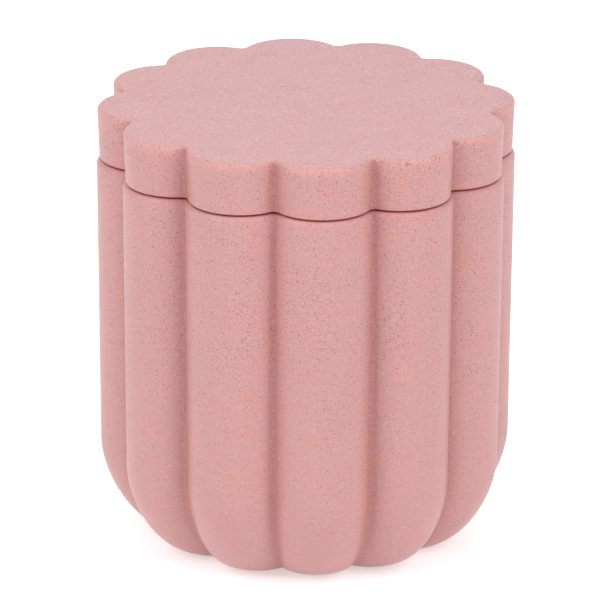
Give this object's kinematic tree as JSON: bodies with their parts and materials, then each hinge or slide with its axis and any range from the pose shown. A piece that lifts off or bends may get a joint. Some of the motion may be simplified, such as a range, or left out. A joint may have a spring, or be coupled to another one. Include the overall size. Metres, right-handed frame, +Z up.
{
  "type": "cotton pad holder",
  "caption": "Round scalloped jar with a loose matching lid and an anti-slip disc under its foot, for keeping cotton pads.",
  "frame": {"origin": "on the jar's axis, on the surface that the holder stands on", "axes": "+Z up along the jar's axis and through the lid; the crest of one lobe faces -Y, the front, and another faces +X"},
  "size_m": [0.1, 0.1, 0.108],
  "materials": {
    "cast_resin": "matte",
    "disc_rubber": "matte"
  },
  "bodies": {
    "jar": {"jar_body": "cast_resin", "anti_slip_disc": "disc_rubber"},
    "lid": {"lid": "cast_resin"}
  },
  "joints": [
    {"name": "lid_lift", "type": "slide", "parent": "jar", "child": "lid", "axis": [0, 0, 1], "range_m": [0, 0.12]}
  ]
}
